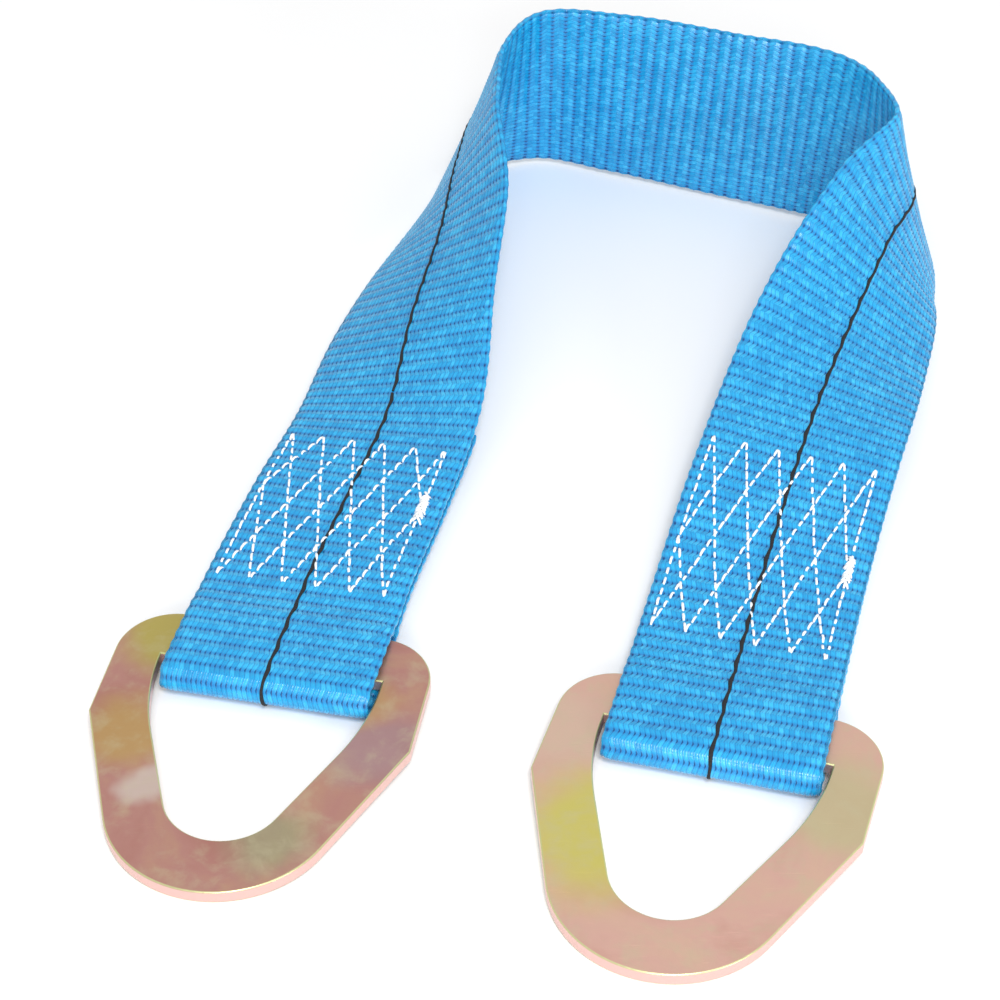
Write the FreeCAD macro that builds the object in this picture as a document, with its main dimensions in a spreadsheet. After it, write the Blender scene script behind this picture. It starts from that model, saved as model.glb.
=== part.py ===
"""Flat web sling: one length of 50 mm polyester webbing with a flat delta ring sewn into each end.

Frame: millimetres, +Z up, origin on the ground under the middle of the sling's box.
The rings lie towards -Y, and the middle of the webbing stands on its edge at +Y.
"""
import FreeCAD, Part
import math
import os
import Sketcher

Vector = FreeCAD.Vector
Rotation = FreeCAD.Rotation

# ------------------------------------------------------------ driving dimensions, millimetres and degrees
SIZES = {
    "web_width": (50.0, "webbing, edge to edge"),
    "web_thick": (2.4, "one ply of webbing"),
    "ply_gap": (0.15, "air between the two sewn plies"),
    "flex_gap": (0.3, "running clearance at a bend of the webbing"),
    "ring_thick": (3.3, "stamped plate"),
    "bar_width": (14.0, "straight bar that the webbing goes round"),
    "ring_half_width": (37.5, "middle to the outside of a side"),
    "ring_corner_radius": (13.5, "outside corner beside the bar"),
    "ring_shoulder": (27.4, "bar middle to where the sides start to taper"),
    "ring_reach": (74.9, "bar middle to the outside of the nose"),
    "ring_nose_radius": (26.5, "outside of the nose"),
    "eye_half_width": (26.4, "middle to the inside of a side"),
    "eye_straight": (8.0, "bar middle to where the inside starts to bend"),
    "eye_bend_radius": (58.0, "inside bend between side and taper"),
    "eye_reach": (60.2, "bar middle to the inside of the nose"),
    "eye_nose_radius": (13.7, "inside of the nose"),
    "ring_edge_radius": (0.5, "rolled rim of the stamping"),
    "ring_tilt": (2.4, "nose lies on the ground, the bar is up on the webbing"),
    "bar_clearance": (0.45, "air above and below the bar inside the loop"),
    "loop_play": (5.0, "play between the bar and the fold of the loop"),
    "loop_slack": (1.2, "air behind the bar before the two plies close in"),
    "hinge_reach": (15.0, "bar middle to the line where the loop flexes"),
    "loop_seam_set_back": (1.0, "from the flex line back to where the two plies meet inside the loop"),
    "thread_width": (0.9, "sewing thread"),
    "thread_rise": (0.38, "sewing thread above the cloth, in a run along the webbing"),
    "thread_step": (0.08, "one way of crossing runs stands this much more, and the other less"),
    "tack_length": (4.0, "one lock stitch of the back-tack"),
    "tack_spacing": (3.0, "lock stitch to lock stitch"),
    "tack_width": (1.6, "first lock stitch"),
    "tack_rise": (0.3, "first lock stitch above the needle thread"),
    "tack_step": (0.1, "each lock stitch stands this much more than the one before it"),
    "tracer_width": (0.9, "dark yarn woven along the middle of the outer face"),
    "tracer_height": (0.15, "the yarn stands this proud"),
    "stitch_pitch": (8.35, "side to side between needle turns"),
    "seam_shift": (-1.2, "middle of the seam, to the right of the webbing's middle"),
}

# ---------------------------------------------------------------- where the ends lie
# Each end: middle of the bar on the ground plan, heading of the webbing and of the ring (clockwise from +Y)
ENDS = {
    "left": {"bar": (-66.74, -67.87), "web_heading": 12.1, "ring_at": (-67.4, -67.3), "ring_heading": 10.6},
    "right": {"bar": (34.89, -91.61), "web_heading": 14.7, "ring_at": (35.5, -91.3), "ring_heading": 18.1},
}

# Route of the middle of the webbing between the two flex lines: x, y, height, lean of its width.
# Lean 0 lies flat with the outer face up, 90 stands on edge with the outer face outwards.
ROUTE = [
    (-63.6, -53.2, 7.1, 0.0),
    (-62.2, -46.7, 7.3, 0.9),
    (-53.6, -12.8, 7.4, 1.3),
    (-44.7, 21.0, 8.4, 8.4),
    (-39.1, 55.6, 14.2, 24.7),
    (-31.4, 88.6, 21.4, 41.4),
    (-26.8, 120.7, 25.6, 63.2),
    (-21.1, 144.6, 26.8, 71.7),
    (-3.2, 160.6, 26.9, 90.0),
    (19.7, 156.4, 26.5, 98.9),
    (50.7, 145.6, 25.7, 103.3),
    (81.9, 130.7, 26.2, 101.3),
    (91.1, 122.6, 26.0, 90.0),
    (100.5, 103.5, 26.5, 75.4),
    (90.5, 76.8, 25.5, 52.2),
    (78.2, 48.0, 18.8, 29.3),
    (66.0, 15.3, 14.0, 10.1),
    (55.1, -18.4, 9.8, 8.8),
    (45.5, -51.1, 6.4, 2.5),
    (38.7, -77.1, 6.9, 0.0),
]
LEFT_CORNER, RIGHT_CORNER = 8, 12
SECTION_PITCH = 8.0  # along the webbing, between the sections of a loft
SEAM_SECTIONS = 6    # pieces in one straight run of thread
TANGENT_STEP = 0.05  # half of the step that gives the webbing's direction


def make_sheet(document):
    """Puts the driving dimensions into the document's spreadsheet."""
    sheet = document.addObject("Spreadsheet::Sheet", "Sizes")
    for row, (name, (value, note)) in enumerate(SIZES.items(), start=1):
        sheet.set(f"A{row}", name)
        sheet.set(f"B{row}", str(value))
        sheet.set(f"C{row}", note)
        sheet.setAlias(f"B{row}", name)
    document.recompute()
    return sheet


os.makedirs("parts", exist_ok=True)
doc = FreeCAD.newDocument("WebSling")
sizes = make_sheet(doc)


def size(name):
    """One driving dimension, read from the spreadsheet."""
    return float(sizes.get(name))


# ---------------------------------------------------------------- the webbing's route
def route_stations():
    """Distance along the route of each of its points."""
    stations = [0.0]
    for a, b in zip(ROUTE, ROUTE[1:]):
        stations.append(stations[-1] + (Vector(*b[:3]) - Vector(*a[:3])).Length)
    return stations


STATIONS = route_stations()
ROUTE_LENGTH = STATIONS[-1]


def slope(values, i):
    """Slope of a smooth curve through values at station i, from its two neighbours."""
    last = len(values) - 1
    if i == 0:
        return (values[1] - values[0]) / (STATIONS[1] - STATIONS[0])
    if i == last:
        return (values[last] - values[last - 1]) / (STATIONS[last] - STATIONS[last - 1])
    before, after = STATIONS[i] - STATIONS[i - 1], STATIONS[i + 1] - STATIONS[i]
    rise_before = (values[i] - values[i - 1]) / before
    rise_after = (values[i + 1] - values[i]) / after
    return (rise_before * after + rise_after * before) / (before + after)


def along(column, distance):
    """Value of one column of ROUTE at a distance along it, on a smooth curve through its points."""
    values = [row[column] for row in ROUTE]
    i = max(k for k in range(len(STATIONS) - 1) if STATIONS[k] <= max(distance, 0.0))
    span = STATIONS[i + 1] - STATIONS[i]
    t = (distance - STATIONS[i]) / span
    return (
        (2 * t**3 - 3 * t**2 + 1) * values[i]
        + (t**3 - 2 * t**2 + t) * span * slope(values, i)
        + (3 * t**2 - 2 * t**3) * values[i + 1]
        + (t**3 - t**2) * span * slope(values, i + 1)
    )


def web_frame(distance):
    """Middle of the webbing, its direction, its width direction and its outer face's normal."""
    middle = Vector(*(along(k, distance) for k in range(3)))
    ahead = Vector(*(along(k, distance + TANGENT_STEP) for k in range(3)))
    behind = Vector(*(along(k, distance - TANGENT_STEP) for k in range(3)))
    direction = (ahead - behind).normalize()
    inward = direction.cross(Vector(0, 0, 1)).normalize()
    lean = math.radians(along(3, distance))
    width = inward * math.cos(lean) + inward.cross(direction) * math.sin(lean)
    return middle, direction, width, width.cross(direction)


def web_point(distance, across, height):
    """Point of the webbing: along it, across it from its middle, and out from its mid-plane."""
    middle, _, width, normal = web_frame(distance)
    return middle + width * across + normal * height


def polygon(points):
    return Part.makePolygon(list(points) + [points[0]])


def strip(stops, half_width, low, high):
    """Solid band on the webbing through stops, which are (distance, across), between two heights."""
    sections = []
    for distance, across in stops:
        corners = [(-half_width, low), (half_width, low), (half_width, high), (-half_width, high)]
        sections.append(polygon([web_point(distance, across + u, h) for u, h in corners]))
    return Part.makeLoft(sections, True, False)


def stops_between(start, end):
    """Evenly spaced stops along the middle of the webbing."""
    count = max(2, math.ceil(abs(end - start) / SECTION_PITCH))
    return [(start + (end - start) * k / count, 0.0) for k in range(count + 1)]


def rounded_end(distance, forward, radius):
    """Half-round nose that closes the webbing at a flex line."""
    middle, direction, width, normal = web_frame(distance)
    base = middle - width * (size("web_width") / 2)
    side = normal * radius
    edge = Part.Wire([
        Part.Arc(base - side, base + direction * (radius * forward), base + side).toShape(),
        Part.makeLine(base + side, base - side),
    ])
    return Part.Face(edge).extrude(width * size("web_width"))


# ---------------------------------------------------------------- helpers that add sub-parts
def add_shape(name, shape, placement=None):
    """A sub-part whose form is worked out from the route."""
    feature = doc.addObject("Part::Feature", name)
    feature.Label = name
    feature.Shape = shape
    feature.Placement = placement or FreeCAD.Placement()
    return feature


# ---------------------------------------------------------------- delta ring
def tangent_from(point, centre, radius):
    """Where a line from point touches the circle on its +X side."""
    gap = Vector(point.x - centre.x, point.y - centre.y, 0)
    turn = math.acos(radius / gap.Length)
    towards = math.atan2(gap.y, gap.x) - turn
    return Vector(centre.x + radius * math.cos(towards), centre.y + radius * math.sin(towards), 0)


def mirrored(point):
    return Vector(-point.x, point.y, 0)


def arc_through(centre, radius, first, last):
    """Arc about centre, anticlockwise from first to last."""
    angles = [math.atan2(p.y - centre.y, p.x - centre.x) for p in (first, last)]
    circle = Part.Circle(centre, Vector(0, 0, 1), radius)
    return Part.ArcOfCircle(circle, angles[0], angles[1])


START, END, CENTRE = 1, 2, 3
Y_AXIS = -2


def bind(sketch, name, alias, *constraint):
    """Adds a named dimension driven by the spreadsheet."""
    index = sketch.addConstraint(Sketcher.Constraint(*constraint))
    sketch.renameConstraint(index, name)
    sketch.setExpression(f"Constraints.{name}", alias)


def outer_outline(sketch):
    """Outside of the ring: bar edge, rounded corners, sides, tapers and nose."""
    half, rear, corner = size("ring_half_width"), size("bar_width") / 2, size("ring_corner_radius")
    nose_middle = Vector(0, size("ring_nose_radius") - size("ring_reach"), 0)
    top_end = Vector(half - corner, rear, 0)
    side_top = Vector(half, rear - corner, 0)
    shoulder = Vector(half, -size("ring_shoulder"), 0)
    touch = tangent_from(shoulder, nose_middle, size("ring_nose_radius"))
    corner_middle = Vector(half - corner, rear - corner, 0)
    top = sketch.addGeometry(Part.LineSegment(mirrored(top_end), top_end))
    corner_right = sketch.addGeometry(arc_through(corner_middle, corner, side_top, top_end))
    side_right = sketch.addGeometry(Part.LineSegment(side_top, shoulder))
    taper_right = sketch.addGeometry(Part.LineSegment(shoulder, touch))
    nose = sketch.addGeometry(arc_through(nose_middle, size("ring_nose_radius"), mirrored(touch), touch))
    taper_left = sketch.addGeometry(Part.LineSegment(mirrored(touch), mirrored(shoulder)))
    side_left = sketch.addGeometry(Part.LineSegment(mirrored(shoulder), mirrored(side_top)))
    corner_left = sketch.addGeometry(
        arc_through(mirrored(corner_middle), corner, mirrored(top_end), mirrored(side_top)))
    for first, first_end, second, second_end in [
        (top, END, corner_right, END), (corner_right, START, side_right, START),
        (taper_right, END, nose, END), (nose, START, taper_left, START),
        (side_left, END, corner_left, END), (corner_left, START, top, START),
    ]:
        sketch.addConstraint(Sketcher.Constraint("Tangent", first, first_end, second, second_end))
    sketch.addConstraint(Sketcher.Constraint("Coincident", side_right, END, taper_right, START))
    sketch.addConstraint(Sketcher.Constraint("Coincident", taper_left, END, side_left, START))
    sketch.addConstraint(Sketcher.Constraint("Symmetric", top, START, top, END, Y_AXIS))
    sketch.addConstraint(Sketcher.Constraint("Vertical", side_right))
    sketch.addConstraint(Sketcher.Constraint("Vertical", side_left))
    sketch.addConstraint(Sketcher.Constraint("Horizontal", side_right, END, side_left, START))
    sketch.addConstraint(Sketcher.Constraint("Equal", corner_right, corner_left))
    sketch.addConstraint(Sketcher.Constraint("PointOnObject", nose, CENTRE, Y_AXIS))
    bind(sketch, "bar_rear", "Sizes.bar_width / 2", "DistanceY", top, END, rear)
    bind(sketch, "corner", "Sizes.ring_corner_radius", "Radius", corner_right, corner)
    bind(sketch, "half_width", "Sizes.ring_half_width", "DistanceX", side_right, START, half)
    bind(sketch, "shoulder", "-Sizes.ring_shoulder", "DistanceY", side_right, END, shoulder.y)
    bind(sketch, "nose", "Sizes.ring_nose_radius", "Radius", nose, size("ring_nose_radius"))
    bind(sketch, "nose_middle", "Sizes.ring_nose_radius - Sizes.ring_reach",
         "DistanceY", nose, CENTRE, nose_middle.y)


def inner_outline(sketch):
    """Inside of the ring: bar edge, sides, gentle bends, tapers and nose."""
    half, front = size("eye_half_width"), -size("bar_width") / 2
    bend_start = front - size("eye_straight") + size("bar_width") / 2
    nose_middle = Vector(0, size("eye_nose_radius") - size("eye_reach"), 0)
    bend_middle = Vector(half - size("eye_bend_radius"), bend_start, 0)
    # the taper is the common tangent of the bend and the nose, which curve the same way
    between = bend_middle - nose_middle
    turn = math.acos((size("eye_nose_radius") - size("eye_bend_radius")) / between.Length)
    towards = math.atan2(between.y, between.x) - turn
    out = Vector(math.cos(towards), math.sin(towards), 0)
    bend_end = bend_middle + out * size("eye_bend_radius")
    touch = nose_middle + out * size("eye_nose_radius")
    corner, bend_top = Vector(half, front, 0), Vector(half, bend_start, 0)
    top = sketch.addGeometry(Part.LineSegment(mirrored(corner), corner))
    side_right = sketch.addGeometry(Part.LineSegment(corner, bend_top))
    bend_right = sketch.addGeometry(arc_through(bend_middle, size("eye_bend_radius"), bend_end, bend_top))
    taper_right = sketch.addGeometry(Part.LineSegment(bend_end, touch))
    nose = sketch.addGeometry(arc_through(nose_middle, size("eye_nose_radius"), mirrored(touch), touch))
    taper_left = sketch.addGeometry(Part.LineSegment(mirrored(touch), mirrored(bend_end)))
    bend_left = sketch.addGeometry(
        arc_through(mirrored(bend_middle), size("eye_bend_radius"), mirrored(bend_top), mirrored(bend_end)))
    side_left = sketch.addGeometry(Part.LineSegment(mirrored(bend_top), mirrored(corner)))
    for first, first_end, second, second_end in [
        (side_right, END, bend_right, END), (bend_right, START, taper_right, START),
        (taper_right, END, nose, END), (nose, START, taper_left, START),
        (taper_left, END, bend_left, END), (bend_left, START, side_left, START),
    ]:
        sketch.addConstraint(Sketcher.Constraint("Tangent", first, first_end, second, second_end))
    sketch.addConstraint(Sketcher.Constraint("Coincident", top, END, side_right, START))
    sketch.addConstraint(Sketcher.Constraint("Coincident", side_left, END, top, START))
    sketch.addConstraint(Sketcher.Constraint("Symmetric", top, START, top, END, Y_AXIS))
    sketch.addConstraint(Sketcher.Constraint("Vertical", side_right))
    sketch.addConstraint(Sketcher.Constraint("Vertical", side_left))
    sketch.addConstraint(Sketcher.Constraint("Horizontal", side_right, END, side_left, START))
    sketch.addConstraint(Sketcher.Constraint("Equal", bend_right, bend_left))
    sketch.addConstraint(Sketcher.Constraint("PointOnObject", nose, CENTRE, Y_AXIS))
    bind(sketch, "bar_front", "-Sizes.bar_width / 2", "DistanceY", top, END, front)
    bind(sketch, "half_width", "Sizes.eye_half_width", "DistanceX", side_right, START, half)
    bind(sketch, "straight", "-Sizes.eye_straight", "DistanceY", side_right, END, bend_start)
    bind(sketch, "bend", "Sizes.eye_bend_radius", "Radius", bend_right, size("eye_bend_radius"))
    bind(sketch, "nose", "Sizes.eye_nose_radius", "Radius", nose, size("eye_nose_radius"))
    bind(sketch, "nose_middle", "Sizes.eye_nose_radius - Sizes.eye_reach",
         "DistanceY", nose, CENTRE, nose_middle.y)


def attach_to_plan(body, sketch):
    plan = next(o for o in body.Origin.OriginFeatures if o.Role == "XY_Plane")
    sketch.AttachmentSupport = [(plan, "")]
    sketch.MapMode = "FlatFace"


def bar_height():
    """Height of the bar's middle when the ring's nose rests on the ground."""
    tilt = math.radians(size("ring_tilt"))
    return size("ring_thick") / 2 * math.cos(tilt) + size("ring_reach") * math.sin(tilt)


def delta_ring(side):
    """Flat stamped ring: a padded outline with its eye cut through and its rims rolled."""
    body = doc.addObject("PartDesign::Body", f"delta_ring_{side}")
    body.Label = f"delta_ring_{side}"
    outline = body.newObject("Sketcher::SketchObject", f"outline_{side}")
    attach_to_plan(body, outline)
    outer_outline(outline)
    plate = body.newObject("PartDesign::Pad", f"plate_{side}")
    plate.Profile = outline
    plate.SideType = "Symmetric"
    plate.setExpression("Length", "Sizes.ring_thick")
    eye = body.newObject("Sketcher::SketchObject", f"eye_{side}")
    attach_to_plan(body, eye)
    inner_outline(eye)
    hole = body.newObject("PartDesign::Pocket", f"hole_{side}")
    hole.Profile = eye
    hole.Type = "ThroughAll"
    hole.SideType = "Symmetric"
    doc.recompute()
    rims = body.newObject("PartDesign::Fillet", f"rims_{side}")
    flat = [
        f"Edge{n}" for n, edge in enumerate(hole.Shape.Edges, start=1)
        if abs(edge.BoundBox.ZLength) < 1e-6
    ]
    rims.Base = (hole, flat)
    rims.setExpression("Radius", "Sizes.ring_edge_radius")
    body.Tip = rims
    x, y = ENDS[side]["ring_at"]
    turn = Rotation(Vector(0, 0, 1), -ENDS[side]["ring_heading"])
    tilt = Rotation(Vector(1, 0, 0), size("ring_tilt"))
    body.Placement = FreeCAD.Placement(Vector(x, y, bar_height()), turn.multiply(tilt))
    doc.recompute()
    return body


# ---------------------------------------------------------------- webbing
def nose_radius():
    """Both plies together flex about one line behind the bar."""
    return size("web_thick") + size("ply_gap") / 2


def sewn_start():
    """Route distance where the sewn plies start, clear of the loop's nose."""
    return nose_radius() + size("flex_gap")


def eye_loop(side):
    """Webbing folded round the bar: an outline about the bar's middle, pulled out to the web's width."""
    thick = size("web_thick")
    inside = size("ring_thick") / 2 + size("bar_clearance")
    front = size("bar_width") / 2 + size("loop_play")
    back = size("bar_width") / 2 + size("loop_slack")
    reach, nose = size("hinge_reach"), nose_radius()
    route_end = ROUTE[0 if side == "left" else -1]
    flex_height = route_end[2] - nose + thick / 2 - bar_height()
    outside = inside + thick

    def at(a, h):
        return Vector(0, a, h)

    outer = Part.Wire([
        Part.Arc(at(-front, -outside), at(-front - outside, 0), at(-front, outside)).toShape(),
        Part.makeLine(at(-front, outside), at(back, outside)),
        Part.makeLine(at(back, outside), at(reach, flex_height + nose)),
        Part.Arc(at(reach, flex_height + nose), at(reach + nose, flex_height),
                 at(reach, flex_height - nose)).toShape(),
        Part.makeLine(at(reach, flex_height - nose), at(back, -outside)),
        Part.makeLine(at(back, -outside), at(-front, -outside)),
    ])
    meet = reach - size("loop_seam_set_back")
    inner = Part.Wire([
        Part.Arc(at(-front, -inside), at(-front - inside, 0), at(-front, inside)).toShape(),
        Part.makeLine(at(-front, inside), at(back, inside)),
        Part.makeLine(at(back, inside), at(meet, flex_height)),
        Part.makeLine(at(meet, flex_height), at(back, -inside)),
        Part.makeLine(at(back, -inside), at(-front, -inside)),
    ])
    ring_of_web = Part.Face(outer).cut(Part.Face(inner)).Faces[0]
    width = size("web_width")
    ring_of_web.translate(Vector(-width / 2, 0, 0))
    solid = ring_of_web.extrude(Vector(width, 0, 0))
    x, y = ENDS[side]["bar"]
    heading = Rotation(Vector(0, 0, 1), -ENDS[side]["web_heading"])
    return add_shape(f"web_{side}_loop", solid, FreeCAD.Placement(Vector(x, y, bar_height()), heading))


def ply(stops, low, high):
    """One ply of webbing through stops."""
    return strip(stops, size("web_width") / 2, low, high)


def arm(name, ring_end, corner, towards_corner):
    """An arm runs from its sewn end to the line where it flexes from the back panel, and ends in a nose."""
    half = size("web_thick") / 2
    band = ply(stops_between(ring_end, corner), -half, half)
    return add_shape(name, band.fuse(rounded_end(corner, towards_corner, half)))


def tracer(name, start, end):
    """Dark yarn along the middle of the outer face."""
    face = size("web_thick") / 2
    return add_shape(name, strip(stops_between(start, end), size("tracer_width") / 2,
                                 face, face + size("tracer_height")))


# ---------------------------------------------------------------- sewing
# Each end is sewn with two closed zigzags between a row of turns near the ring and a row near the lap's end.
# Rows are measured from the flex line to the turn at the middle of the web. Skew is per millimetre to the
# right. The lap is as long as that many sections of its arm, so that the two plies keep their distance.
SEWING = {
    "left": {"near": 5.1, "far": 63.5, "half_way": 40.5, "near_skew": -0.006, "far_skew": -0.024,
             "lap_sections": 9},
    "right": {"near": 9.5, "far": 78.9, "half_way": 42.0, "near_skew": -0.048, "far_skew": 0.116,
              "lap_sections": 11},
}


def sewing_point(side, turn):
    """Route stop of a needle turn: N1 to N6 near the ring, F1 to F6 at the far row, L and R half way."""
    plan = SEWING[side]
    pitch, shift = size("stitch_pitch"), size("seam_shift")
    if turn in ("L", "R"):
        right = pitch * (2.5 if turn == "R" else -2.5) + shift
        distance = plan["half_way"] + right * (plan["near_skew"] + plan["far_skew"]) / 2
    else:
        right = pitch * (int(turn[1]) - 3.5) + shift
        row, skew = ("near", "near_skew") if turn[0] == "N" else ("far", "far_skew")
        distance = plan[row] + right * plan[skew]
    return (distance, right) if side == "left" else (ROUTE_LENGTH - distance, -right)


ZIGZAGS = [
    ["N1", "F3", "N5", "R", "F5", "N3", "F1", "N1"],
    ["L", "F2", "N4", "F6", "N6", "F4", "N2", "L"],
]


def seam_run(side, first, last, heights):
    """One straight run of thread between two turns, between two heights."""
    a, b = sewing_point(side, first), sewing_point(side, last)
    shares = [k / SEAM_SECTIONS for k in range(SEAM_SECTIONS + 1)]
    stops = [(a[0] + (b[0] - a[0]) * share, a[1] + (b[1] - a[1]) * share) for share in shares]
    return strip(stops, size("thread_width") / 2, *sorted(heights))


def seam(name, side, base, out):
    """All the runs of one end's seam on one face. Crossing runs differ in height, so they join cleanly."""
    rise, step = size("thread_rise"), size("thread_step")
    spans = {"leans_right": (0, rise + step), "leans_left": (step, rise - step), "straight": (step / 2, rise)}
    runs = []
    for zigzag in ZIGZAGS:
        for first, last in zip(zigzag, zigzag[1:]):
            a, b = sewing_point(side, first), sewing_point(side, last)
            lean = (b[1] - a[1]) * (b[0] - a[0])
            kind = "straight" if abs(b[1] - a[1]) < 1e-6 else ("leans_right" if lean > 0 else "leans_left")
            runs.append(seam_run(side, first, last, [base + out * height for height in spans[kind]]))
    joined = runs[0].fuse(runs[1:])
    return add_shape(name, joined)


def back_tack(side):
    """Knot of short lock stitches where the seam starts and ends, half way up the right-hand edge."""
    middle, across = sewing_point(side, "R")
    face = size("web_thick") / 2 + size("thread_rise") + size("thread_step")
    reach, width = size("tack_length") / 2, size("tack_width")
    rise, step = size("tack_rise"), size("tack_step")
    bars = []
    for k in range(3):
        at = middle + (k - 1) * size("tack_spacing")
        stops = [(at - reach, across), (at + reach, across)]
        bars.append(strip(stops, width / 2 + 2 * step * k, face, face + rise + step * k))
    return add_shape(f"back_tack_{side}", bars[0].fuse(bars[1:]))


# ---------------------------------------------------------------- build
half_ply = size("web_thick") / 2
lap_top = -half_ply - size("ply_gap")
lap_bottom = lap_top - size("web_thick")
left_corner, right_corner = STATIONS[LEFT_CORNER], STATIONS[RIGHT_CORNER]
corner_gap = half_ply + size("flex_gap")

parts = [
    add_shape("web_back_panel",
              ply(stops_between(left_corner + corner_gap, right_corner - corner_gap), -half_ply, half_ply)),
    tracer("tracer_back", left_corner + corner_gap, right_corner - corner_gap),
]
for side in ("left", "right"):
    at_left = side == "left"
    ring_end = sewn_start() if at_left else ROUTE_LENGTH - sewn_start()
    corner = left_corner if at_left else right_corner
    towards_corner = 1 if at_left else -1
    lap = stops_between(ring_end, corner)[:SEWING[side]["lap_sections"] + 1]
    parts += [
        delta_ring(side),
        eye_loop(side),
        arm(f"web_{side}_arm", ring_end, corner, towards_corner),
        add_shape(f"web_{side}_lap", ply(lap, lap_bottom, lap_top)),
        tracer(f"tracer_{side}", *sorted((ring_end, corner))),
        seam(f"needle_thread_{side}", side, half_ply, 1),
        seam(f"bobbin_thread_{side}", side, lap_bottom, -1),
        back_tack(side),
    ]
doc.recompute()

# ---------------------------------------------------------------- check and write
for item in doc.Objects:
    if "Invalid" in item.State or "Error" in item.State:
        raise RuntimeError(f"{item.Label} failed: {item.State}")
for part in parts:
    if part.Shape.isNull() or not part.Shape.isValid() or not part.Shape.Solids:
        raise RuntimeError(f"{part.Label} has no valid shape")
    part.Shape.exportStep(f"parts/{part.Label}.step")
    box = part.Shape.BoundBox
    print(f"{part.Label:22s} solids {len(part.Shape.Solids)} volume {part.Shape.Volume:9.1f} "
          f"x {box.XMin:7.1f} {box.XMax:7.1f} y {box.YMin:7.1f} {box.YMax:7.1f} "
          f"z {box.ZMin:6.2f} {box.ZMax:6.2f}")
whole = Part.makeCompound([part.Shape for part in parts]).BoundBox
print("whole", whole)
print("route length", round(ROUTE_LENGTH, 1), "corners", round(left_corner, 1), round(right_corner, 1))
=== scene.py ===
import math
import random

import bpy
import numpy as np
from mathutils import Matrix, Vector


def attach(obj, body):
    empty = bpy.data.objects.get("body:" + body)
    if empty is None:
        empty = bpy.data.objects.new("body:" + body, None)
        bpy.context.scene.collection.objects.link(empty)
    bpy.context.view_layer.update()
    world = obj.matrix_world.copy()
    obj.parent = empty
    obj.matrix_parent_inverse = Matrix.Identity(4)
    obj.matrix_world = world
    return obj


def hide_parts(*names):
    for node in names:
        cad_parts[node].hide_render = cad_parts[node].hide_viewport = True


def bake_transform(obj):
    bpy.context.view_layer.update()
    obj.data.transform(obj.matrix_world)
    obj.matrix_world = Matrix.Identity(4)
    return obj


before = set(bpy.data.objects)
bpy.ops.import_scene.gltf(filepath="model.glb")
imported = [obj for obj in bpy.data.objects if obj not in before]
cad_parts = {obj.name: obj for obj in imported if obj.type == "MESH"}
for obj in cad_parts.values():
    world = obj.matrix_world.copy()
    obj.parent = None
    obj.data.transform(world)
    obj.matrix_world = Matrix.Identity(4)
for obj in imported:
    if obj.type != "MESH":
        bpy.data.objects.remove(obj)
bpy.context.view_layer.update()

# Flat web sling: 50 mm polyester webbing with a delta ring sewn into each end.
# Lengths are in millimetres until a mesh is made, which is in metres.
MM = 0.001

# ------------------------------------------------------------ sizes
WEB_WIDTH, WEB_THICK, PLY_GAP = 50.0, 2.4, 0.15
RING_THICK, RING_REACH, RING_TILT = 3.3, 74.9, math.radians(2.4)
BAR_WIDTH, BAR_CLEARANCE, LOOP_PLAY, LOOP_SLACK, HINGE_REACH = 14.0, 0.45, 5.0, 1.2, 15.0
BAR_HEIGHT = RING_THICK / 2 * math.cos(RING_TILT) + RING_REACH * math.sin(RING_TILT)
PLY_STEP = WEB_THICK + PLY_GAP

# Middle of each bar on the ground plan, and the webbing's heading, clockwise from +Y
BARS = {"left": (-66.74, -67.87, 12.1), "right": (34.89, -91.61, 14.7)}

# Route of the middle of the webbing between the two flex lines: x, y, height, lean of its width
ROUTE = np.array([
    (-63.6, -53.2, 7.1, 0.0),
    (-62.2, -46.7, 7.3, 0.9),
    (-53.6, -12.8, 7.4, 1.3),
    (-44.7, 21.0, 8.4, 8.4),
    (-39.1, 55.6, 14.2, 24.7),
    (-31.4, 88.6, 21.4, 41.4),
    (-26.8, 120.7, 25.6, 63.2),
    (-21.1, 144.6, 26.8, 71.7),
    (-3.2, 160.6, 26.9, 90.0),
    (19.7, 156.4, 26.5, 98.9),
    (50.7, 145.6, 25.7, 103.3),
    (81.9, 130.7, 26.2, 101.3),
    (91.1, 122.6, 26.0, 90.0),
    (100.5, 103.5, 26.5, 75.4),
    (90.5, 76.8, 25.5, 52.2),
    (78.2, 48.0, 18.8, 29.3),
    (66.0, 15.3, 14.0, 10.1),
    (55.1, -18.4, 9.8, 8.8),
    (45.5, -51.1, 6.4, 2.5),
    (38.7, -77.1, 6.9, 0.0),
])
LEFT_CORNER, RIGHT_CORNER = 8, 12

# Weave: one rib is two rows of warp floats that lean opposite ways
RIB, FLOATS = 3.8, 40
ROWS_PER_RIB = 6                    # mesh rows in one rib
SAMPLES_PER_FLOAT = 3
FLOAT_LEAN = 0.30                   # sideways swing of a warp yarn over one rib
RIB_DEPTH, FLOAT_DEPTH, SCALLOP = 0.34, 0.18, 0.26

# Sewing: rows are measured from the flex line, skew is per millimetre to the right
SEWING = {
    "left": dict(near=5.1, far=63.5, half_way=40.5, near_skew=-0.006, far_skew=-0.024, lap_end=72.7),
    "right": dict(near=9.5, far=78.9, half_way=42.0, near_skew=-0.048, far_skew=0.116, lap_end=88.8),
}
STITCH_PITCH, SEAM_SHIFT = 8.35, -1.2
ZIGZAGS = [["N1", "F3", "N5", "R", "F5", "N3", "F1", "N1"], ["L", "F2", "N4", "F6", "N6", "F4", "N2", "L"]]
THREAD_RADIUS, STITCH = 0.34, 3.4
NEEDLE_DEPTH = 0.55                 # how far a stitch's ends go into the cloth
TACK_STITCHES, TACK_STEP = 15, 0.62

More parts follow.
